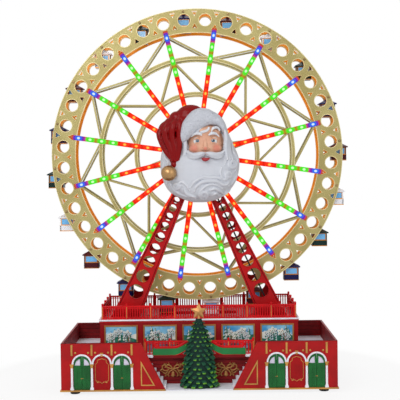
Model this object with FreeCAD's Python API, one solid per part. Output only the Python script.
import FreeCAD, Part

import math
import os

from FreeCAD import Vector

# A musical christmas ferris wheel, in millimetres.
# X runs to the viewer's right, Y from the front to the back, Z up.
# The origin is the middle of the ground under the base.
# Angles on the wheel are clock angles: degrees clockwise from the top, seen from the front.

# Round pieces that repeat or are hidden have this many sides
ROUND_SIDES = 12
ARCH_SIDES = 6

# Base storey
BASE_WIDTH = 530.0
FACADE_Y = -137.0
BACK_Y = 135.0
WALL = 4.0
FACADE_THICKNESS = 6.0
FOOT_RADIUS = 9.5
FOOT_HEIGHT = 4.0
FOOT_INSET = 24.0
PLATE_THICKNESS = 4.0
LOWER_STOREY_HEIGHT = 59.0
FLOOR_THICKNESS = 3.0
PARAPET_HEIGHT = 33.8
COURTYARD_WALL_Y = -78.0
COURTYARD_HALF_WIDTH = 64.6
FACADE_TOP_HALF_GAP = 112.0
SNOW_THICKNESS = 1.5
STEP_COUNT = 7
SKIRTING_HEIGHT = 3.0
TRIM_THICKNESS = 2.0

# Arcade of the front wings
COLUMN_COUNT = 4
COLUMN_PITCH = 38.3
COLUMN_INSET = 21.0
COLUMN_WIDTH = 4.4
COLUMN_FOOT_WIDTH = 8.0
COLUMN_FOOT_HEIGHT = 7.0
CAPITAL_HEIGHT = 7.0
CAPITAL_WIDTH = 7.0
ARCH_SPRING_HEIGHT = 53.0
ARCH_BAND = 3.2
PILASTER_WIDTH = 3.6
PILASTER_HEIGHT = 21.0
PILASTER_TOP_GAP = 2.0
PANEL_RECESS = 1.5
DOOR_THICKNESS = 3.0
DOOR_LEAF_GAP = 0.6
TRIANGLE_HEIGHT = 48.0
TRIANGLE_WIDTH = 27.0
TRIANGLE_LIFT = 10.0
TRIANGLE_BAND = 2.2

# Upper house and its deck
HOUSE_WIDTH = 396.0
HOUSE_FRONT_Y = -45.0
UPPER_STOREY_HEIGHT = 65.0
DECK_THICKNESS = 6.0
DECK_OVERHANG = 1.5
PICTURE_COUNT = 5
PICTURE_PITCH = 78.0
PICTURE_WIDTH = 66.0
PICTURE_HEIGHT = 52.0
PICTURE_TOP_GAP = 7.0
PICTURE_THICKNESS = 3.0
PICTURE_BORDER = 3.0
SLOT_SIDE_GAP = 8.0
SLOT_FLOOR_GAP = 10.5
TUB_WALL = 2.5

# Railings
RAIL_HEIGHT = 26.0
RAIL_SIZE = 3.0
POST_SIZE = 3.6
FINIAL_HEIGHT = 6.0
FRONT_RAIL_BAYS = 8
SIDE_RAIL_BAYS = 2
RAIL_EDGE = 6.5
BALCONY_DEPTH = 12.0
BALCONY_RAIL_HEIGHT = 29.0
BALCONY_POST_X = (57.6, 106.0)

# Banner on the balcony
BANNER_HALF_WIDTH = 91.0
BANNER_HEIGHT = 14.5
BANNER_SWEEP = 21.0
BANNER_SWEEP_SHARE = 0.55
BANNER_THICKNESS = 2.0
BANNER_SIDES = 10

# Wheel
RIM_DECK_GAP = 30.3
WHEEL_Y = 50.0
RIM_RADIUS = 298.7
RIM_WIDTH = 49.1
FRAME_THICKNESS = 5.0
FRAME_GAP = 42.0
HOLE_COUNT = 40
HOLE_RADIUS = 12.3
HOLE_INSET = 22.8
HOLE_SIDES = 8
MIDDLE_RING_RADIUS = 201.7
INNER_RING_RADIUS = 128.8
RING_WIDTH = 6.0
RING_SIDES = 24
RIM_SIDES = 40
HUB_RADIUS = 34.0
BOSS_RADIUS = 13.0
SPOKE_COUNT = 16
SPOKE_PHASE = 8.6
STRUT_WIDTH = 3.4
STRIP_WIDTH = 9.2
STRIP_THICKNESS = 4.0
STRIP_START = 36.0
STRIP_OVERLAP = 10.0

# Cabins, hung from their pins
CABIN_COUNT = 20
CABIN_PHASE = -4.9
CABIN_WIDTH = 30.0
CABIN_DEPTH = 30.0
CABIN_BODY_HEIGHT = 28.0
ROOF_HEIGHT = 8.8
ROOF_DROP = 4.0
EAVES = 3.2
ROOF_BREAK = 0.4
RIDGE_SHARE = 0.3
LUG_WIDTH = 7.0
LUG_THICKNESS = 5.0
PIN_INSET = 5.0
PIN_RADIUS = 1.6
PIN_SIDES = 4
PIN_CLEARANCE = 0.3

# Axle, bushes and drive
AXLE_RADIUS = 5.0
BUSH_WALL = 4.0
RUNNING_CLEARANCE = 0.05
SEAT_CLEARANCE = 0.1
AXLE_FRONT_SETBACK = 6.0
SLIP_RING_RADIUS = 16.0
SLIP_RING_GAP = 2.5
BRUSH_GAP = 0.5
BRUSH_WIDTH = 14.0
GEAR_MODULE = 2.5
GEAR_TEETH = 18
PINION_TEETH = 9
GEAR_WIDTH = 6.0
GEAR_SETBACK = 3.0
GEAR_BACKLASH = 0.25
TOOTH_ROOT_SHARE = 0.72
TOOTH_TIP_SHARE = 0.24
TOOTH_ROOT_DEPTH = 1.25
MOTOR_RADIUS = 11.0
MOTOR_GAP = 1.0
PINION_SHAFT_RADIUS = 1.5
PINION_SHAFT_LENGTH = 6.0
HOUSING_DEPTH = 25.0
HOUSING_WALL = 2.0
HOUSING_MARGIN = 4.0

# Legs
LEG_DEPTH = 24.0
LEG_GAP = 14.0
LEG_FOOT_X = 150.0
LEG_FOOT_WIDTH = 58.0
LEG_TOP_WIDTH = 19.0
LEG_FLANGE = 3.3
LEG_WEB = 3.0
LEG_RECESS = 2.0
LEG_DISC_RADIUS = 26.0
LEG_FOOT_HEIGHT = 27.0
LEG_HOLE_TOP_DROP = 103.0
LEG_HOLE_SPACING = 5.6
LEG_HOLE_EDGE = 7.75
LEG_HOLE_SHARE = 0.8
LEG_HOLE_SIDES = 6
LOOM_RADIUS = 1.8
LOOM_SIDES = 6
LOOM_TAIL = 20.0
LOOM_RISE = 5.0
LOOM_GAP = 6.0
LOOM_ARC_SHARE = 0.45

# Head; its outlines are (x, z) offsets from the axle
HEAD_GAP = 12.0
HEAD_POINTS = 10
SPIGOT_RADIUS = 18.0
CAP_DEPTH = 58.0
BAND_DEPTH = 66.0
EDGE_ROUND = 12.0
BAUBLE_RADIUS = 15.5
BAUBLE_X = -55.0
BAUBLE_DROP = 36.7
BAUBLE_OUT = 54.0
BAUBLE_LEVELS = 6
HEAD_LEVELS = [
    # height from the axle, left edge, right edge, depth
    (-97, -8, 22, 12),
    (-91, -32, 50, 28),
    (-74, -52, 75, 45),
    (-54, -65, 83, 55),
    (-31, -72, 84, 60),
    (-6, -74, 76, 62),
    (19, -66, 65, 60),
    (44, -52, 60, 54),
    (61, -38, 50, 42),
]
CAP_OUTLINE = [
    (11, 91), (-11, 97), (-41, 91), (-64, 71), (-81, 43), (-70, 17), (-57, -8), (-54, -22),
    (-40, -22), (-34, -6), (-30, 22), (-33, 53), (-19, 70), (0, 86),
]
BAND_OUTLINE = [
    (-30, 12), (-37, 34), (-34, 54), (-17, 74), (2, 89), (14, 92), (31, 86), (51, 67), (59, 49), (61, 32),
    (51, 34), (44, 50), (31, 56), (12, 52), (-6, 36), (-16, 16),
]

# Tree
TREE_HALF_WIDTH = 38.0
TREE_HALF_DEPTH = 24.0
TREE_HEIGHT = 133.0
TREE_TIERS = 10
TREE_POINTS = 8
TREE_TOP_SHARE = 0.3
TREE_FULLNESS = 2.2
TREE_NOTCH = 0.86
TREE_NECK = 0.82
STAR_RADIUS = 17.0
STAR_LIFT = 14.0
STAR_INNER_SHARE = 0.5
STAR_POINTS = 5
STAR_THICKNESS = 7.0

# Electronics and controls on the back wall
BOARD_SIZE = (70.0, 50.0, 1.6)
BOARD_X = 120.0
BOARD_STANDOFF = 6.0
JACK_SIZE = (12.0, 14.0, 11.0)
JACK_BORE_RADIUS = 3.1
JACK_BORE_DEPTH = 10.0
JACK_WINDOW = 1.5
SPEAKER_X = -120.0
SPEAKER_Y = 30.0
SPEAKER_RADIUS = 28.0
SPEAKER_HEIGHT = 18.0
SPEAKER_SLOTS = 5
SPEAKER_SLOT_WIDTH = 3.0
SPEAKER_SLOT_SHARE = 0.8
SPEAKER_RIM_HEIGHT = 4.0
MAGNET_RADIUS = 12.5
MAGNET_HEIGHT = 7.0
CONTROL_HEIGHT = 36.0
BUTTON_X = 60.0
BUTTON_RADIUS = 5.0
BUTTON_TRAVEL = 2.0
BUTTON_PROUD = 3.0
BUTTON_STEM = 6.0
KNOB_X = -60.0
KNOB_RADIUS = 9.0
KNOB_HEIGHT = 3.7
KNOB_GAP = 0.3
KNOB_SHAFT_RADIUS = 3.0
KNOB_SHAFT_LENGTH = 12.0
CONTROL_CLEARANCE = 0.4
SWITCH_MARGIN = 3.0
CHIP_SIZE = (14.0, 10.0, 2.0)

# Levels and planes that follow from the sizes above
plate_top = FOOT_HEIGHT + PLATE_THICKNESS
snow_top = plate_top + SNOW_THICKNESS
floor_top = plate_top + LOWER_STOREY_HEIGHT
floor_underside = floor_top - FLOOR_THICKNESS
parapet_top = floor_top + PARAPET_HEIGHT
deck_top = floor_top + UPPER_STOREY_HEIGHT
deck_underside = deck_top - DECK_THICKNESS
axle_above_deck = RIM_RADIUS + RIM_DECK_GAP
axle_z = deck_top + axle_above_deck
half_base = BASE_WIDTH / 2
half_house = HOUSE_WIDTH / 2
front_frame_y = WHEEL_Y - FRAME_GAP / 2 - FRAME_THICKNESS
rear_frame_y = WHEEL_Y + FRAME_GAP / 2
leg_back_y = front_frame_y - LEG_GAP
leg_front_y = leg_back_y - LEG_DEPTH
rear_leg_y = 2 * WHEEL_Y - leg_back_y
rear_leg_back_y = rear_leg_y + LEG_DEPTH
pivot_radius = RIM_RADIUS - PIN_INSET
cabin_drop = ROOF_DROP + ROOF_HEIGHT + CABIN_BODY_HEIGHT
cabin_dip = max(0.0, pivot_radius + cabin_drop - axle_above_deck)
slot_floor_z = deck_top - cabin_dip - SLOT_FLOOR_GAP
bush_radius = AXLE_RADIUS + RUNNING_CLEARANCE + BUSH_WALL
gear_y = rear_leg_back_y + GEAR_SETBACK
pinion_drop = GEAR_MODULE * (GEAR_TEETH + PINION_TEETH) / 2
motor_y = gear_y + GEAR_WIDTH + MOTOR_GAP
housing_back_y = rear_leg_back_y + HOUSING_DEPTH
door_half_width = COLUMN_PITCH / 2 - COLUMN_WIDTH / 2 - SEAT_CLEARANCE
balcony_front_y = COURTYARD_WALL_Y - BALCONY_DEPTH
tree_y = FACADE_Y + TREE_HALF_DEPTH + SNOW_THICKNESS
head_back_y = leg_front_y - HEAD_GAP
inner_back_y = BACK_Y - WALL
control_z = plate_top + CONTROL_HEIGHT
board_z = plate_top + BOARD_STANDOFF
jack_z = board_z + BOARD_SIZE[2] + JACK_SIZE[2] / 2


# Small makers of solids

def box(x0, x1, y0, y1, z0, z1):
    return Part.makeBox(x1 - x0, y1 - y0, z1 - z0, Vector(x0, y0, z0))


def cylinder_y(x, z, radius, y0, y1):
    return Part.makeCylinder(radius, y1 - y0, Vector(x, y0, z), Vector(0, 1, 0))


def outline(points, y):
    """A closed wire through (x, z) points in the plane at y."""
    corners = [Vector(x, y, z) for x, z in points]
    return Part.makePolygon(corners + corners[:1])


def prism(points, y0, y1, holes=()):
    """The (x, z) outline, less its holes, carried from y0 to y1."""
    wires = [outline(points, y0)] + [outline(hole, y0) for hole in holes]
    face = Part.makeFace(wires, "Part::FaceMakerBullseye")
    return face.extrude(Vector(0, y1 - y0, 0))


def clock(radius, degrees, x=0.0, z=0.0):
    """The (x, z) point at a clock angle about a centre."""
    turn = math.radians(degrees)
    return (x + radius * math.sin(turn), z + radius * math.cos(turn))


def polygon(radius, sides, x=0.0, z=0.0, first=0.0):
    return [clock(radius, first + 360.0 * i / sides, x, z) for i in range(sides)]


def bar(start, end, width, y0, y1):
    """A flat bar from one (x, z) point to another."""
    dx, dz = end[0] - start[0], end[1] - start[1]
    length = math.hypot(dx, dz)
    ox, oz = -dz / length * width / 2, dx / length * width / 2
    corners = [
        (start[0] + ox, start[1] + oz),
        (end[0] + ox, end[1] + oz),
        (end[0] - ox, end[1] - oz),
        (start[0] - ox, start[1] - oz),
    ]
    return prism(corners, y0, y1)


def upright(points, z0, z1):
    """The (x, y) outline carried up from z0 to z1."""
    corners = [Vector(x, y, z0) for x, y in points]
    return Part.Face(Part.makePolygon(corners + corners[:1])).extrude(Vector(0, 0, z1 - z0))


def round_bar(x, z, radius, y0, y1, sides=ROUND_SIDES):
    """A many-sided bar along Y, with its corners on the radius."""
    return prism(polygon(radius, sides, x, z), y0, y1)


def round_hole(x, z, radius, y0, y1, sides=ROUND_SIDES):
    """A many-sided cutter along Y, whose flats clear the radius."""
    return prism(polygon(radius / math.cos(math.pi / sides), sides, x, z), y0, y1)


def mirrored(shape):
    return shape.mirror(Vector(0, 0, 0), Vector(1, 0, 0))


def faceted(rings):
    """A closed solid of flat facets between rings of points, whose end rings close to their middles."""
    faces = []

    def facet(*points):
        spread = [p for i, p in enumerate(points) if (p - points[i - 1]).Length > 1e-6]
        if len(spread) > 2:
            faces.append(Part.Face(Part.makePolygon(spread + spread[:1])))

    for lower, upper in zip(rings, rings[1:]):
        count = len(lower)
        for i in range(count):
            j = (i + 1) % count
            facet(lower[i], lower[j], upper[j])
            facet(lower[i], upper[j], upper[i])
    for ring in (rings[0], rings[-1]):
        centre = sum(ring, Vector()) * (1.0 / len(ring))
        for i in range(len(ring)):
            facet(centre, ring[i - 1], ring[i])
    solid = Part.makeSolid(Part.makeShell(faces))
    if solid.Volume < 0:
        solid.reverse()
    return solid


def ellipse_ring(x, y, z, half_width, half_depth, count):
    """A level ring of points."""
    turns = [2 * math.pi * (i + 0.5) / count for i in range(count)]
    return [Vector(x + half_width * math.cos(turn), y + half_depth * math.sin(turn), z) for turn in turns]


def fused(shapes):
    return shapes[0].multiFuse(shapes[1:]).removeSplitter()


# Base

def base_plate():
    plate = box(-half_base, half_base, FACADE_Y, BACK_Y, FOOT_HEIGHT, plate_top)
    slots = []
    slot_pitch = 2 * SPEAKER_RADIUS / (SPEAKER_SLOTS + 1)
    for i in range(SPEAKER_SLOTS):
        x = SPEAKER_X + (i - (SPEAKER_SLOTS - 1) / 2) * slot_pitch
        reach = SPEAKER_SLOT_SHARE * math.sqrt(SPEAKER_RADIUS ** 2 - (x - SPEAKER_X) ** 2)
        half_slot = SPEAKER_SLOT_WIDTH / 2
        y0, y1 = SPEAKER_Y - reach, SPEAKER_Y + reach
        slots.append(box(x - half_slot, x + half_slot, y0, y1, 0, plate_top + 1))
    return plate.cut(slots)


def feet():
    rubber = []
    for x in (FOOT_INSET - half_base, half_base - FOOT_INSET):
        for y in (FACADE_Y + FOOT_INSET, BACK_Y - FOOT_INSET):
            rubber.append(upright(polygon(FOOT_RADIUS, ROUND_SIDES, x, y), 0, FOOT_HEIGHT))
    return Part.makeCompound(rubber)


def column_x(index):
    return -half_base + COLUMN_INSET + index * COLUMN_PITCH


def arch_x(index):
    return column_x(index) + COLUMN_PITCH / 2


def arch_points(x, radius):
    """The half circle over the arcade's springing line, from right to left."""
    spring = plate_top + ARCH_SPRING_HEIGHT
    return [clock(radius, 90 - 180.0 * i / ARCH_SIDES, x, spring) for i in range(ARCH_SIDES + 1)]


def arch_shape(x, half_width, foot, y0, y1):
    """A round-headed plate that stands at foot and springs at the arcade's height."""
    return prism([(x - half_width, foot), (x + half_width, foot)] + arch_points(x, half_width), y0, y1)


def left_facade():
    wall = prism(
        [
            (-half_base, plate_top),
            (-COURTYARD_HALF_WIDTH, plate_top),
            (-FACADE_TOP_HALF_GAP, parapet_top),
            (-half_base, parapet_top),
        ],
        FACADE_Y,
        FACADE_Y + FACADE_THICKNESS,
    )
    foot = plate_top + SKIRTING_HEIGHT
    cuts = []
    for index in range(COLUMN_COUNT - 1):
        doorway = index % 2 == 0
        depth = FACADE_THICKNESS + 1 if doorway else PANEL_RECESS
        cuts.append(arch_shape(arch_x(index), door_half_width, foot, FACADE_Y - 1, FACADE_Y + depth))
    return wall.cut(cuts)


def facades():
    left = left_facade()
    return Part.makeCompound([left, mirrored(left)])


def doors():
    """Two leaves fill each doorway, set back behind the facade's face."""
    back = FACADE_Y + FACADE_THICKNESS
    foot = plate_top + SKIRTING_HEIGHT + SEAT_CLEARANCE
    leaves = []
    for index in range(0, COLUMN_COUNT - 1, 2):
        x = arch_x(index)
        half_width = door_half_width - SEAT_CLEARANCE
        pair = arch_shape(x, half_width, foot, back - DOOR_THICKNESS, back)
        half_gap = DOOR_LEAF_GAP / 2
        pair = pair.cut(box(x - half_gap, x + half_gap, FACADE_Y, back + 1, 0, parapet_top))
        leaves += pair.Solids
    leaves += [mirrored(leaf) for leaf in leaves]
    return Part.makeCompound(leaves)


def arcade_columns():
    """White columns and the arch bands that spring from their capitals."""
    y0 = FACADE_Y - TRIM_THICKNESS
    spring = plate_top + ARCH_SPRING_HEIGHT
    foot = plate_top + SKIRTING_HEIGHT
    pieces = []
    for index in range(COLUMN_COUNT):
        x = column_x(index)
        half_foot = COLUMN_FOOT_WIDTH / 2
        half_column = COLUMN_WIDTH / 2
        profile = [
            (x - half_foot, foot),
            (x + half_foot, foot),
            (x + half_foot, foot + COLUMN_FOOT_HEIGHT / 2),
            (x + half_column, foot + COLUMN_FOOT_HEIGHT),
            (x + half_column, spring - CAPITAL_HEIGHT),
            (x - half_column, spring - CAPITAL_HEIGHT),
            (x - half_column, foot + COLUMN_FOOT_HEIGHT),
            (x - half_foot, foot + COLUMN_FOOT_HEIGHT / 2),
        ]
        pieces.append(prism(profile, y0, FACADE_Y))
    for index in range(COLUMN_COUNT - 1):
        x = arch_x(index)
        outer = arch_points(x, COLUMN_PITCH / 2)
        inner = arch_points(x, COLUMN_PITCH / 2 - ARCH_BAND)
        pieces.append(prism(outer + inner[::-1], y0, FACADE_Y))
    pieces += [mirrored(piece) for piece in pieces]
    return Part.makeCompound(pieces)


def right_triangle(x, z, width, height):
    return [(x, z), (x + width, z), (x, z + height)]


def gold_trim():
    """Skirting, capitals, pilaster strips and the triangle on each wing."""
    y0 = FACADE_Y - TRIM_THICKNESS
    spring = plate_top + ARCH_SPRING_HEIGHT
    slope = (FACADE_TOP_HALF_GAP - COURTYARD_HALF_WIDTH) / (parapet_top - plate_top)
    top_end = -COURTYARD_HALF_WIDTH - slope * SKIRTING_HEIGHT
    edge = -half_base - TRIM_THICKNESS
    front = prism(
        [
            (edge, plate_top),
            (-COURTYARD_HALF_WIDTH, plate_top),
            (top_end, plate_top + SKIRTING_HEIGHT),
            (edge, plate_top + SKIRTING_HEIGHT),
        ],
        y0,
        FACADE_Y,
    )
    side = box(edge, -half_base, FACADE_Y, BACK_Y, plate_top, plate_top + SKIRTING_HEIGHT)
    pieces = [front.fuse(side).removeSplitter()]
    for index in range(COLUMN_COUNT):
        x = column_x(index)
        half_top = CAPITAL_WIDTH / 2
        half_foot = COLUMN_WIDTH / 2
        capital = [
            (x - half_foot, spring - CAPITAL_HEIGHT),
            (x + half_foot, spring - CAPITAL_HEIGHT),
            (x + half_top, spring),
            (x - half_top, spring),
        ]
        pieces.append(prism(capital, y0, FACADE_Y))
        half_strip = PILASTER_WIDTH / 2
        strip_top = parapet_top - PILASTER_TOP_GAP
        strip_foot = strip_top - PILASTER_HEIGHT
        pieces.append(box(x - half_strip, x + half_strip, y0 + 1, FACADE_Y, strip_foot, strip_top))
    corner_x = -FACADE_TOP_HALF_GAP
    corner_z = plate_top + TRIANGLE_LIFT
    steep = math.atan2(TRIANGLE_HEIGHT, TRIANGLE_WIDTH)
    # The inner triangle keeps one band width from each side.
    inset = TRIANGLE_BAND
    inner_height = TRIANGLE_HEIGHT - inset * (1 + math.tan(steep) + 1 / math.cos(steep))
    inner_width = inner_height / math.tan(steep)
    inner_x, inner_z = corner_x + inset, corner_z + inset
    outer = right_triangle(corner_x, corner_z, TRIANGLE_WIDTH, TRIANGLE_HEIGHT)
    inner = right_triangle(inner_x, inner_z, inner_width, inner_height)
    pieces.append(prism(outer, y0 + 1, FACADE_Y, [inner]))
    pieces += [mirrored(piece) for piece in pieces]
    return Part.makeCompound(pieces)


def lower_walls():
    """Side walls, back wall with its control holes, and the courtyard's wall."""
    front = FACADE_Y + FACADE_THICKNESS
    side = box(-half_base, WALL - half_base, front, BACK_Y, plate_top, parapet_top)
    back = box(WALL - half_base, half_base - WALL, inner_back_y, BACK_Y, plate_top, parapet_top)
    openings = [
        round_hole(BUTTON_X, control_z, BUTTON_RADIUS + CONTROL_CLEARANCE, inner_back_y - 1, BACK_Y + 1),
        round_hole(KNOB_X, control_z, KNOB_SHAFT_RADIUS + CONTROL_CLEARANCE, inner_back_y - 1, BACK_Y + 1),
        round_hole(BOARD_X, jack_z, JACK_BORE_RADIUS + JACK_WINDOW, inner_back_y - 1, BACK_Y + 1),
    ]
    back = back.cut(openings)
    courtyard = box(
        -FACADE_TOP_HALF_GAP,
        FACADE_TOP_HALF_GAP,
        COURTYARD_WALL_Y,
        COURTYARD_WALL_Y + WALL,
        plate_top,
        floor_underside,
    )
    return Part.makeCompound([side, mirrored(side), back, courtyard])


def courtyard_steps():
    """The snowy court between the wings and the stairs up behind each of them."""
    front = FACADE_Y + FACADE_THICKNESS
    court = box(
        -COURTYARD_HALF_WIDTH, COURTYARD_HALF_WIDTH, FACADE_Y, COURTYARD_WALL_Y, plate_top, snow_top
    )
    run = (FACADE_TOP_HALF_GAP - COURTYARD_HALF_WIDTH) / STEP_COUNT
    rise = (floor_top - plate_top) / STEP_COUNT
    profile = [(-FACADE_TOP_HALF_GAP, plate_top), (-COURTYARD_HALF_WIDTH, plate_top)]
    for step in range(STEP_COUNT):
        x = -COURTYARD_HALF_WIDTH - step * run
        profile += [(x, plate_top + (step + 1) * rise), (x - run, plate_top + (step + 1) * rise)]
    # The top step reaches under the balcony's floor.
    stair = prism(profile, front, COURTYARD_WALL_Y).cut(terrace_floor())
    return Part.makeCompound([court, stair, mirrored(stair)])


def terrace_floor():
    """One floor plate with the balcony at its front and the court's notch."""
    x = half_base - WALL
    front = FACADE_Y + FACADE_THICKNESS
    plan = [
        (-x, front),
        (-FACADE_TOP_HALF_GAP, front),
        (-FACADE_TOP_HALF_GAP, balcony_front_y),
        (FACADE_TOP_HALF_GAP, balcony_front_y),
        (FACADE_TOP_HALF_GAP, front),
        (x, front),
        (x, inner_back_y),
        (-x, inner_back_y),
    ]
    return upright(plan, floor_underside, floor_top)


# Upper house

def house_walls():
    back = inner_back_y
    front = box(-half_house, half_house, HOUSE_FRONT_Y, HOUSE_FRONT_Y + WALL, floor_top, deck_underside)
    rear = box(-half_house, half_house, back - WALL, back, floor_top, deck_underside)
    side = box(-half_house, WALL - half_house, HOUSE_FRONT_Y + WALL, back - WALL, floor_top, deck_underside)
    return Part.makeCompound([front, rear, side, mirrored(side)])


def slot_half_width():
    """Half the deck slot's length: as far out as a cabin's floor dips below the deck, and a margin."""
    pivot_drop = min(axle_above_deck - cabin_drop, pivot_radius)
    swing = math.sqrt(pivot_radius ** 2 - pivot_drop ** 2)
    return swing + CABIN_WIDTH / 2 + SLOT_SIDE_GAP


def upper_deck():
    """The roof deck, with a tub under the slot that the cabins dip into."""
    x = half_house + DECK_OVERHANG
    plate = box(-x, x, HOUSE_FRONT_Y - DECK_OVERHANG, BACK_Y, deck_underside, deck_top)
    half_slot = slot_half_width()
    half_depth = CABIN_DEPTH / 2 + SLOT_SIDE_GAP
    tub = box(
        -half_slot - TUB_WALL,
        half_slot + TUB_WALL,
        WHEEL_Y - half_depth - TUB_WALL,
        WHEEL_Y + half_depth + TUB_WALL,
        slot_floor_z - TUB_WALL,
        deck_top,
    )
    slot = box(
        -half_slot,
        half_slot,
        WHEEL_Y - half_depth,
        WHEEL_Y + half_depth,
        slot_floor_z,
        deck_top + 1,
    )
    loom_hole = box(
        LEG_FOOT_X - LOOM_GAP,
        LEG_FOOT_X + LOOM_GAP,
        loom_y() - LOOM_GAP,
        loom_y() + LOOM_GAP,
        deck_underside - 1,
        deck_top + 1,
    )
    return plate.fuse(tub).removeSplitter().cut([slot, loom_hole])


def picture_panels():
    top = deck_underside - PICTURE_TOP_GAP
    foot = top - PICTURE_HEIGHT
    panels = []
    for index in range(PICTURE_COUNT):
        x = (index - (PICTURE_COUNT - 1) / 2) * PICTURE_PITCH
        half = PICTURE_WIDTH / 2
        frame = box(x - half, x + half, HOUSE_FRONT_Y - PICTURE_THICKNESS, HOUSE_FRONT_Y, foot, top)
        recess = box(
            x - half + PICTURE_BORDER,
            x + half - PICTURE_BORDER,
            HOUSE_FRONT_Y - PICTURE_THICKNESS - 1,
            HOUSE_FRONT_Y - PICTURE_THICKNESS / 2,
            foot + PICTURE_BORDER,
            top - PICTURE_BORDER,
        )
        panels.append(frame.cut(recess))
    return Part.makeCompound(panels)


# Railings

def railing_run(posts_x, foot, height):
    """Pointed posts, a foot rail and a top rail in the plane y = 0, in one moulding."""
    half = POST_SIZE / 2
    top = foot + height
    shape = [(posts_x[0] - half, foot), (posts_x[-1] + half, foot)]
    for x in reversed(posts_x):
        shape += [(x + half, top), (x, top + FINIAL_HEIGHT), (x - half, top)]
    bays = []
    for left, right in zip(posts_x, posts_x[1:]):
        x0, x1 = left + half, right - half
        z0, z1 = foot + RAIL_SIZE, top - RAIL_SIZE
        bays.append([(x0, z0), (x1, z0), (x1, z1), (x0, z1)])
    return prism(shape, -RAIL_SIZE / 2, RAIL_SIZE / 2, bays)


def placed(shape, x, y, turn=0):
    copy = shape.copy()
    copy.rotate(Vector(), Vector(0, 0, 1), turn)
    copy.translate(Vector(x, y, 0))
    return copy


def spaced(start, end, bays):
    return [start + (end - start) * i / bays for i in range(bays + 1)]


def railings():
    """Four runs round the deck and one along the balcony."""
    half = half_house + DECK_OVERHANG - RAIL_EDGE
    front_y = HOUSE_FRONT_Y - DECK_OVERHANG + RAIL_EDGE
    back_y = BACK_Y - RAIL_EDGE
    long_run = railing_run(spaced(-half, half, FRONT_RAIL_BAYS), deck_top, RAIL_HEIGHT)
    half_side = (back_y - front_y) / 2 - POST_SIZE / 2 - RAIL_SIZE / 2
    side_run = railing_run(spaced(-half_side, half_side, SIDE_RAIL_BAYS), deck_top, RAIL_HEIGHT)
    side = placed(side_run, -half, (front_y + back_y) / 2, 90)
    inner, outer = BALCONY_POST_X
    balcony = railing_run([-outer, -inner, inner, outer], floor_top, BALCONY_RAIL_HEIGHT)
    runs = [placed(long_run, 0, front_y), placed(long_run, 0, back_y), side, mirrored(side)]
    return Part.makeCompound(runs + [placed(balcony, 0, balcony_rail_y())])


def balcony_rail_y():
    return balcony_front_y + POST_SIZE


def banner():
    """A scrolled ribbon that sweeps up to its middle, in front of the balcony's rail."""
    back = balcony_rail_y() - POST_SIZE / 2
    foot = floor_top + SEAT_CLEARANCE
    half = BANNER_HALF_WIDTH
    low = [(-half, foot)]
    for i in range(-BANNER_SIDES, BANNER_SIDES + 1):
        share = i / BANNER_SIDES
        climb = 1 - abs(share)
        rise = BANNER_SWEEP * climb ** 2 * (3 - 2 * climb)
        low.append((half * BANNER_SWEEP_SHARE * share, foot + rise))
    low.append((half, foot))
    high = [(x, z + BANNER_HEIGHT) for x, z in low]
    return prism(low + high[::-1], back - BANNER_THICKNESS, back)


# Tree

def tree():
    rings = []
    tier_height = TREE_HEIGHT / TREE_TIERS

    def ring(share, z):
        points = ellipse_ring(0, tree_y, z, TREE_HALF_WIDTH * share, TREE_HALF_DEPTH * share, TREE_POINTS)
        axis = Vector(0, tree_y, z)
        return [axis + (p - axis) * (TREE_NOTCH if i % 2 else 1.0) for i, p in enumerate(points)]

    def width_share(tier):
        return 1 - (1 - TREE_TOP_SHARE) * (tier / TREE_TIERS) ** TREE_FULLNESS

    for tier in range(TREE_TIERS):
        rings.append(ring(width_share(tier), snow_top + tier * tier_height))
        rings.append(ring(TREE_NECK * width_share(tier + 1), snow_top + (tier + 1) * tier_height))
    return faceted(rings)


def tree_star():
    """A five-pointed star with a ridge along each point."""
    centre_z = snow_top + TREE_HEIGHT + STAR_LIFT
    rim = []
    corners = 2 * STAR_POINTS
    for i in range(corners):
        radius = STAR_RADIUS if i % 2 == 0 else STAR_RADIUS * STAR_INNER_SHARE
        x, z = clock(radius, 360.0 * i / corners, 0, centre_z)
        rim.append(Vector(x, tree_y, z))
    front = [Vector(0, tree_y - STAR_THICKNESS / 2, centre_z)] * corners
    back = [Vector(0, tree_y + STAR_THICKNESS / 2, centre_z)] * corners
    star = faceted([front, rim, back])
    # The foot stands on the flat top of the tree.
    half = STAR_THICKNESS / 2
    foot = box(-half, half, tree_y - half, tree_y + half, snow_top + TREE_HEIGHT, centre_z)
    return fused([star, foot])


# Wheel

def spoke_angle(index):
    return SPOKE_PHASE + 360.0 * index / SPOKE_COUNT


def cabin_angle(index):
    return CABIN_PHASE + 360.0 * index / CABIN_COUNT


def ring_plate(outer, inner, sides, first, y0, y1):
    """A flat ring with many short sides."""
    centre = (0, axle_z)
    return prism(polygon(outer, sides, *centre, first), y0, y1, [polygon(inner, sides, *centre, first)])


def rim_plate(y0, y1):
    """The wide rim with its round holes; a hole lies under each cabin pin."""
    middle = (0, axle_z)
    pitch = 360.0 / HOLE_COUNT
    first = CABIN_PHASE + pitch / 2
    holes = [polygon(RIM_RADIUS - RIM_WIDTH, RIM_SIDES, *middle, first)]
    for index in range(HOLE_COUNT):
        angle = CABIN_PHASE + pitch * index
        x, z = clock(RIM_RADIUS - HOLE_INSET, angle, *middle)
        holes.append(polygon(HOLE_RADIUS, HOLE_SIDES, x, z, angle + 180.0 / HOLE_SIDES))
    return prism(polygon(RIM_RADIUS, RIM_SIDES, *middle, first), y0, y1, holes)


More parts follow.
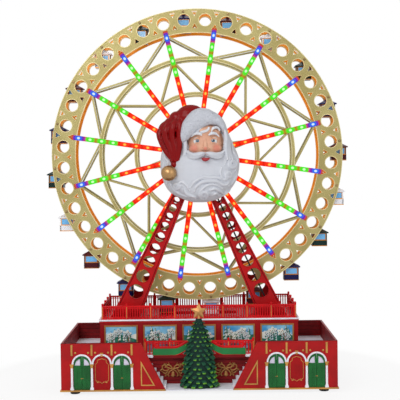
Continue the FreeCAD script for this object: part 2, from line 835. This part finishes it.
def wheel_frame(y0):
    """One side of the wheel in one moulding: pierced rim, two rings, zig-zag struts and a hub."""
    y1 = y0 + FRAME_THICKNESS
    boss_y = (y1, WHEEL_Y) if y0 < WHEEL_Y else (WHEEL_Y, y0)
    first = spoke_angle(0)
    pieces = [
        rim_plate(y0, y1),
        ring_plate(MIDDLE_RING_RADIUS, MIDDLE_RING_RADIUS - RING_WIDTH, RING_SIDES, first, y0, y1),
        ring_plate(INNER_RING_RADIUS, INNER_RING_RADIUS - RING_WIDTH, RING_SIDES, first, y0, y1),
        prism(polygon(HUB_RADIUS, SPOKE_COUNT, 0, axle_z, first), y0, y1),
    ]
    bite = RING_WIDTH / 2
    # Each bay's struts run from its outer ring at odd spokes to its inner ring at even spokes.
    bays = [
        (RIM_RADIUS - RIM_WIDTH + bite, MIDDLE_RING_RADIUS - bite),
        (MIDDLE_RING_RADIUS - bite, INNER_RING_RADIUS - bite),
        (INNER_RING_RADIUS - bite, HUB_RADIUS - bite),
    ]
    for index in range(0, SPOKE_COUNT, 2):
        for outer, inner in bays:
            start = clock(inner, spoke_angle(index), 0, axle_z)
            for side in (-1, 1):
                end = clock(outer, spoke_angle(index + side), 0, axle_z)
                pieces.append(bar(start, end, STRUT_WIDTH, y0, y1))
    pieces.append(round_bar(0, axle_z, BOSS_RADIUS, *boss_y))
    bore = round_hole(0, axle_z, AXLE_RADIUS + SEAT_CLEARANCE, y0 - FRAME_GAP, y1 + FRAME_GAP)
    return fused(pieces).cut(bore)


def led_spokes():
    """Light strips that lie on the front frame, from the hub to a little way over the rim."""
    strips = []
    for index in range(SPOKE_COUNT):
        angle = spoke_angle(index)
        start = clock(STRIP_START, angle, 0, axle_z)
        end = clock(RIM_RADIUS - RIM_WIDTH + STRIP_OVERLAP, angle, 0, axle_z)
        strips.append(bar(start, end, STRIP_WIDTH, front_frame_y - STRIP_THICKNESS, front_frame_y))
    return Part.makeCompound(strips)


def cabin_pins():
    pins = []
    for index in range(CABIN_COUNT):
        x, z = clock(pivot_radius, cabin_angle(index), 0, axle_z)
        shape = polygon(PIN_RADIUS, PIN_SIDES, x, z)
        pins.append(prism(shape, front_frame_y + FRAME_THICKNESS, rear_frame_y))
    return Part.makeCompound(pins)


def rectangle(half_width, half_depth, z):
    corners = ((-1, -1), (1, -1), (1, 1), (-1, 1))
    return [Vector(sx * half_width, WHEEL_Y + sy * half_depth, z) for sx, sy in corners]


def cabin_shape():
    """A cabin with its pin at x = 0, z = 0: a body under a curved hip roof with a lug."""
    half_width, half_depth = CABIN_WIDTH / 2, CABIN_DEPTH / 2
    apex = -ROOF_DROP
    eaves = apex - ROOF_HEIGHT
    floor = eaves - CABIN_BODY_HEIGHT
    ridge = CABIN_WIDTH / 2 * RIDGE_SHARE
    roof_width, roof_depth = half_width + EAVES, half_depth + EAVES
    break_width = ridge + (roof_width - ridge) * ROOF_BREAK
    break_depth = ridge + (roof_depth - ridge) * ROOF_BREAK
    lug_bottom = eaves + ROOF_HEIGHT * ROOF_BREAK
    rings = [
        rectangle(half_width, half_depth, floor),
        rectangle(half_width, half_depth, eaves),
        rectangle(roof_width, roof_depth, eaves),
        rectangle(break_width, break_depth, eaves + ROOF_HEIGHT * ROOF_BREAK),
        rectangle(ridge, ridge, apex),
    ]
    body = quads(rings)
    bore_radius = (PIN_RADIUS + PIN_CLEARANCE) / math.cos(math.pi / PIN_SIDES)
    half_lug = LUG_WIDTH / 2
    lug = prism(
        [
            (-half_lug, lug_bottom),
            (half_lug, lug_bottom),
            (half_lug, half_lug),
            (-half_lug, half_lug),
        ],
        WHEEL_Y - LUG_THICKNESS / 2,
        WHEEL_Y + LUG_THICKNESS / 2,
        [polygon(bore_radius, PIN_SIDES)],
    )
    return fused([body, lug])


def quads(rings):
    """Like faceted, for rings whose sides stay parallel, so that each side is one flat face."""
    faces = []
    for lower, upper in zip(rings, rings[1:]):
        for i in range(len(lower)):
            j = (i + 1) % len(lower)
            faces.append(Part.Face(Part.makePolygon([lower[i], lower[j], upper[j], upper[i], lower[i]])))
    for ring in (rings[0], rings[-1]):
        faces.append(Part.Face(Part.makePolygon(ring + ring[:1])))
    solid = Part.makeSolid(Part.makeShell(faces))
    if solid.Volume < 0:
        solid.reverse()
    return solid


def cabin(index, shape):
    x, z = clock(pivot_radius, cabin_angle(index), 0, axle_z)
    copy = shape.copy()
    copy.translate(Vector(x, 0, z))
    return copy


# Axle and drive

def axle():
    return cylinder_y(0, axle_z, AXLE_RADIUS, leg_front_y + AXLE_FRONT_SETBACK, gear_y + GEAR_WIDTH)


def axle_bushes():
    bushes = []
    for y0, y1 in ((leg_front_y, leg_back_y), (rear_leg_y, rear_leg_back_y)):
        bush = round_bar(0, axle_z, bush_radius, y0, y1)
        bushes.append(bush.cut(round_hole(0, axle_z, AXLE_RADIUS + RUNNING_CLEARANCE, y0 - 1, y1 + 1)))
    return Part.makeCompound(bushes)


def slip_ring():
    y0 = leg_back_y + SLIP_RING_GAP
    ring = round_bar(0, axle_z, SLIP_RING_RADIUS, y0, front_frame_y)
    return ring.cut(round_hole(0, axle_z, AXLE_RADIUS + SEAT_CLEARANCE, y0 - 1, front_frame_y + 1))


def gear_outline(teeth, x, z, first):
    """Straight-sided teeth on the pitch circle, thinned by the backlash."""
    pitch_radius = GEAR_MODULE * teeth / 2
    root = pitch_radius - TOOTH_ROOT_DEPTH * GEAR_MODULE
    tip = pitch_radius + GEAR_MODULE
    step = 360.0 / teeth
    slack = math.degrees(GEAR_BACKLASH / pitch_radius)
    root_half, tip_half = step * TOOTH_ROOT_SHARE / 2 - slack, step * TOOTH_TIP_SHARE / 2
    points = []
    for tooth in range(teeth):
        middle = first + tooth * step
        points += [clock(root, middle - root_half, x, z), clock(tip, middle - tip_half, x, z)]
        points += [clock(tip, middle + tip_half, x, z), clock(root, middle + root_half, x, z)]
    return points


def drive_gear():
    half_tooth = 180.0 / GEAR_TEETH
    # A gap of the gear faces straight down, where a pinion tooth stands in it.
    first = half_tooth if GEAR_TEETH % 2 == 0 else 0.0
    gear = prism(gear_outline(GEAR_TEETH, 0, axle_z, first), gear_y, gear_y + GEAR_WIDTH)
    bore_radius = AXLE_RADIUS + SEAT_CLEARANCE
    return gear.cut(round_hole(0, axle_z, bore_radius, gear_y - 1, gear_y + GEAR_WIDTH + 1))


def motor_pinion():
    z = axle_z - pinion_drop
    pinion = prism(gear_outline(PINION_TEETH, 0, z, 0.0), gear_y, gear_y + GEAR_WIDTH)
    shaft = round_bar(0, z, PINION_SHAFT_RADIUS, gear_y, motor_y + PINION_SHAFT_LENGTH)
    return pinion.fuse(shaft)


def motor():
    z = axle_z - pinion_drop
    body = round_bar(0, z, MOTOR_RADIUS, motor_y, housing_back_y - HOUSING_WALL)
    radius = PINION_SHAFT_RADIUS + RUNNING_CLEARANCE
    return body.cut(round_hole(0, z, radius, motor_y - 1, motor_y + PINION_SHAFT_LENGTH + 1))


def rear_housing():
    """A cover over the gears and the motor, closed at the back and open towards the rear legs."""
    z = axle_z - pinion_drop
    gear_room = GEAR_MODULE * (GEAR_TEETH / 2 + 1) + HOUSING_MARGIN
    motor_room = max(MOTOR_RADIUS, GEAR_MODULE * (PINION_TEETH / 2 + 1)) + HOUSING_MARGIN / 2

    def lobe_pair(extra, y0, y1):
        big = round_hole(0, axle_z, gear_room + extra, y0, y1)
        return big.fuse(round_hole(0, z, motor_room + extra, y0, y1))

    shell = lobe_pair(HOUSING_WALL, rear_leg_back_y, housing_back_y)
    return shell.cut(lobe_pair(0, rear_leg_back_y - 1, housing_back_y - HOUSING_WALL)).removeSplitter()


# Legs

def leg_middle(z):
    """X of the right leg's centre line at a height."""
    return LEG_FOOT_X * (axle_z - z) / axle_above_deck


def leg_half_width(z):
    share = (axle_z - z) / axle_above_deck
    return (LEG_TOP_WIDTH + (LEG_FOOT_WIDTH - LEG_TOP_WIDTH) * share) / 2


def leg_outline(z0, z1, inset):
    """The right leg's outline between two heights, drawn in by an inset on each side."""
    points = []
    for z, sides in ((z0, (-1, 1)), (z1, (1, -1))):
        for side in sides:
            points.append((leg_middle(z) + side * (leg_half_width(z) - inset), z))
    return points


def leg_holes():
    """Heights and radii of the round holes, which grow and stay a steady web apart down to the foot."""
    growth = LEG_HOLE_SHARE * (LEG_FOOT_WIDTH - LEG_TOP_WIDTH) / 2 / axle_above_deck
    lean = axle_above_deck / math.hypot(axle_above_deck, LEG_FOOT_X)
    foot_top = deck_top + LEG_FOOT_HEIGHT
    z = axle_z - LEG_HOLE_TOP_DROP
    holes = []
    while True:
        radius = LEG_HOLE_SHARE * (leg_half_width(z) - LEG_HOLE_EDGE)
        if z - radius < foot_top:
            return holes
        holes.append((z, radius))
        z -= lean * (2 * radius + LEG_HOLE_SPACING) / (1 - lean * growth)


def front_right_leg():
    """A channel with raised flanges, a pierced web and half of the hub disc, open towards the wheel."""
    y0, y1 = leg_front_y, leg_back_y
    web_y = y0 + LEG_RECESS
    body = prism(leg_outline(deck_top, axle_z, 0), y0, y1)
    disc = round_bar(0, axle_z, LEG_DISC_RADIUS, y0, y1)
    body = body.fuse(disc).removeSplitter()
    disc_foot = axle_z - LEG_DISC_RADIUS - LEG_FLANGE
    foot_top = deck_top + LEG_FOOT_HEIGHT
    cuts = [
        prism(leg_outline(foot_top, disc_foot, LEG_FLANGE), y0 - 1, web_y),
        prism(leg_outline(deck_top - 1, disc_foot, LEG_FLANGE), web_y + LEG_WEB, y1 + 1),
        round_hole(0, axle_z, bush_radius + SEAT_CLEARANCE, y0 - 1, y1 + 1),
        box(-2 * LEG_DISC_RADIUS, 0, y0 - 1, y1 + 1, deck_top, axle_z + 2 * LEG_DISC_RADIUS),
    ]
    for z, radius in leg_holes():
        cuts.append(prism(polygon(radius, LEG_HOLE_SIDES, leg_middle(z), z), y0 - 1, web_y + LEG_WEB + 1))
    return body.cut(cuts)


def behind_wheel(shape):
    return shape.mirror(Vector(0, WHEEL_Y, 0), Vector(0, 1, 0))


def loom_y():
    return (leg_front_y + LEG_RECESS + LEG_WEB + leg_back_y) / 2


def wire_loom():
    """A lead up the right front leg's channel, and the brush block that it feeds."""
    y = loom_y()
    brush_top = axle_z - SLIP_RING_RADIUS - BRUSH_GAP
    brush_foot = axle_z - LEG_DISC_RADIUS - LEG_FLANGE
    brush_x = leg_middle(brush_foot)
    brush_back_y = front_frame_y - STRIP_THICKNESS - BRUSH_GAP
    brush_y = (leg_back_y + brush_back_y) / 2
    block = box(
        brush_x - BRUSH_WIDTH / 2,
        brush_x + BRUSH_WIDTH / 2,
        leg_back_y,
        brush_back_y,
        brush_foot,
        brush_top,
    )
    bend = 2 * LEG_DISC_RADIUS
    route = [
        Vector(LEG_FOOT_X, y, deck_underside - LOOM_TAIL),
        Vector(LEG_FOOT_X, y, deck_top + LOOM_RISE),
        Vector(leg_middle(brush_foot - bend), y, brush_foot - bend),
        Vector(brush_x, brush_y, brush_foot),
    ]
    path = rounded_path(route)
    section = ellipse_ring(route[0].x, route[0].y, route[0].z, LOOM_RADIUS, LOOM_RADIUS, LOOM_SIDES)
    ring = Part.makePolygon(section + section[:1])
    lead = path.makePipeShell([ring], True, False, 2)
    return Part.makeCompound([lead, block.cut(lead)])


def rounded_path(points):
    """Straight runs joined by arcs as large as the runs allow."""
    edges = []
    here = points[0]
    for before, corner, after in zip(points, points[1:], points[2:]):
        into, out = corner - before, after - corner
        turn = into.getAngle(out)
        reach = LOOM_ARC_SHARE * min(into.Length, out.Length)
        radius = reach / math.tan(turn / 2)
        print("bend radius", round(radius, 1))
        first = corner - into.normalize() * reach
        last = corner + out.normalize() * reach
        inward = (first + last) * 0.5 - corner
        depth = radius / math.cos(turn / 2) - radius
        middle = corner + inward.normalize() * depth
        edges += [Part.makeLine(here, first), Part.Arc(first, middle, last).toShape()]
        here = last
    edges.append(Part.makeLine(here, points[-1]))
    return Part.Wire(edges)


# Head

def head_ring(level):
    """Half an ellipse to the front, with a flat back."""
    height, left, right, depth = level
    ring = []
    for i in range(HEAD_POINTS):
        turn = math.pi * i / (HEAD_POINTS - 1)
        x = (left + right) / 2 + (right - left) / 2 * math.cos(turn)
        ring.append(Vector(x, head_back_y - depth * math.sin(turn), axle_z + height))
    return ring


def head_and_beard():
    """A flat-backed head whose broad beard narrows to the chin, on a spigot against the leg discs."""
    head = faceted([head_ring(level) for level in HEAD_LEVELS])
    return fused([head, round_bar(0, axle_z, SPIGOT_RADIUS, head_back_y - 1, leg_front_y)])


def relief(shape, depth):
    """An outline raised from the head's back plane, with a rounded front edge."""
    corners = [Vector(x, head_back_y, axle_z + z) for x, z in shape]
    centre = sum(corners, Vector()) * (1.0 / len(corners))
    rings = []
    for share, out in ((1.0, 0.0), (1.0, depth - EDGE_ROUND), (1 - EDGE_ROUND / depth, depth)):
        rings.append([centre + (corner - centre) * share - Vector(0, out, 0) for corner in corners])
    return quads(rings)


def head_parts():
    """The head, its cap, the fur band and the bauble, each cut to lie against the ones before it."""
    head = head_and_beard()
    band = relief(BAND_OUTLINE, BAND_DEPTH).cut(head)
    cap = relief(CAP_OUTLINE, CAP_DEPTH).cut([head, band])
    rings = []
    for i in range(1, BAUBLE_LEVELS):
        turn = math.pi * i / BAUBLE_LEVELS
        z = axle_z - BAUBLE_DROP + BAUBLE_RADIUS * math.cos(turn)
        radius = BAUBLE_RADIUS * math.sin(turn)
        rings.append(ellipse_ring(BAUBLE_X, head_back_y - BAUBLE_OUT, z, radius, radius, HEAD_POINTS))
    bauble = faceted(rings).cut([head, cap])
    return {"head_and_beard": head, "cap": cap, "cap_fur_band": band, "cap_bauble": bauble}


# Electronics and controls

def circuit_board():
    """The board on its standoffs with the jack and a chip, and the two controls on the back wall."""
    length, width, thickness = BOARD_SIZE
    x0, x1 = BOARD_X - length / 2, BOARD_X + length / 2
    y1 = inner_back_y
    y0 = y1 - width
    board = [box(x0, x1, y0, y1, board_z, board_z + thickness)]
    post = BOARD_STANDOFF / 2
    for x in (x0, x1 - post):
        for y in (y0, y1 - post):
            board.append(box(x, x + post, y, y + post, plate_top, board_z))
    jack_width, jack_length, jack_height = JACK_SIZE
    z0 = board_z + thickness
    half_jack = jack_width / 2
    jack = box(BOARD_X - half_jack, BOARD_X + half_jack, y1 - jack_length, y1, z0, z0 + jack_height)
    bore = cylinder_y(BOARD_X, jack_z, JACK_BORE_RADIUS, y1 - JACK_BORE_DEPTH, y1 + 1)
    chip_length, chip_width, chip_height = CHIP_SIZE
    chip = box(x0 + post, x0 + post + chip_length, y0 + post, y0 + post + chip_width, z0, z0 + chip_height)
    switch = control_body(BUTTON_X, BUTTON_RADIUS, CONTROL_CLEARANCE, BUTTON_STEM + BUTTON_TRAVEL)
    control = control_body(KNOB_X, KNOB_SHAFT_RADIUS, RUNNING_CLEARANCE, KNOB_SHAFT_LENGTH - WALL - KNOB_GAP)
    return Part.makeCompound([fused(board + [jack, chip]).cut(bore), switch, control])


def control_body(x, radius, clearance, reach):
    """A block behind the back wall with a blind hole for a shaft that reaches in that far."""
    half = radius + SWITCH_MARGIN
    depth = reach + SWITCH_MARGIN
    y1 = inner_back_y
    block = box(x - half, x + half, y1 - depth, y1, control_z - half, control_z + half)
    return block.cut(round_hole(x, control_z, radius + clearance, y1 - reach - clearance, y1 + 1))


def speaker():
    """A frame, a cone and a magnet, face down over the slots."""
    levels = [
        (SPEAKER_RADIUS, 0),
        (SPEAKER_RADIUS, SPEAKER_RIM_HEIGHT),
        (MAGNET_RADIUS, SPEAKER_HEIGHT - MAGNET_HEIGHT),
        (MAGNET_RADIUS, SPEAKER_HEIGHT),
    ]
    return quads([
        ellipse_ring(SPEAKER_X, SPEAKER_Y, plate_top + rise, radius, radius, ROUND_SIDES)
        for radius, rise in levels
    ])


def power_button():
    return round_bar(BUTTON_X, control_z, BUTTON_RADIUS, inner_back_y - BUTTON_STEM, BACK_Y + BUTTON_PROUD)


def volume_knob():
    y0 = BACK_Y + KNOB_GAP
    knob = round_bar(KNOB_X, control_z, KNOB_RADIUS, y0, y0 + KNOB_HEIGHT)
    shaft = round_bar(KNOB_X, control_z, KNOB_SHAFT_RADIUS, y0 - KNOB_SHAFT_LENGTH, y0)
    return fused([knob, shaft])


def write(name, shape):
    shape.exportStep(os.path.join("parts", name + ".step"))
    print(name, len(shape.Solids), round(shape.Volume), shape.isValid())


def main():
    os.makedirs("parts", exist_ok=True)
    write("base_plate", base_plate())
    write("feet", feet())
    write("facades", facades())
    write("doors", doors())
    write("arcade_columns", arcade_columns())
    write("gold_trim", gold_trim())
    write("lower_walls", lower_walls())
    write("courtyard_steps", courtyard_steps())
    write("terrace_floor", terrace_floor())
    write("house_walls", house_walls())
    write("upper_deck", upper_deck())
    write("picture_panels", picture_panels())
    write("railings", railings())
    write("banner", banner())
    write("tree", tree())
    write("tree_star", tree_star())
    write("wheel_frame_front", wheel_frame(front_frame_y))
    write("wheel_frame_rear", wheel_frame(rear_frame_y))
    write("led_spokes", led_spokes())
    write("cabin_pins", cabin_pins())
    shape = cabin_shape()
    for index in range(CABIN_COUNT):
        write("cabin_%02d" % (index + 1), cabin(index, shape))
    write("axle", axle())
    write("axle_bushes", axle_bushes())
    write("slip_ring", slip_ring())
    write("drive_gear", drive_gear())
    write("motor_pinion", motor_pinion())
    write("motor", motor())
    write("rear_housing", rear_housing())
    right = front_right_leg()
    write("leg_front_right", right)
    write("leg_front_left", mirrored(right))
    write("leg_rear_right", behind_wheel(right))
    write("leg_rear_left", behind_wheel(mirrored(right)))
    write("wire_loom", wire_loom())
    for name, piece in head_parts().items():
        write(name, piece)
    write("circuit_board", circuit_board())
    write("speaker", speaker())
    write("power_button", power_button())
    write("volume_knob", volume_knob())


main()
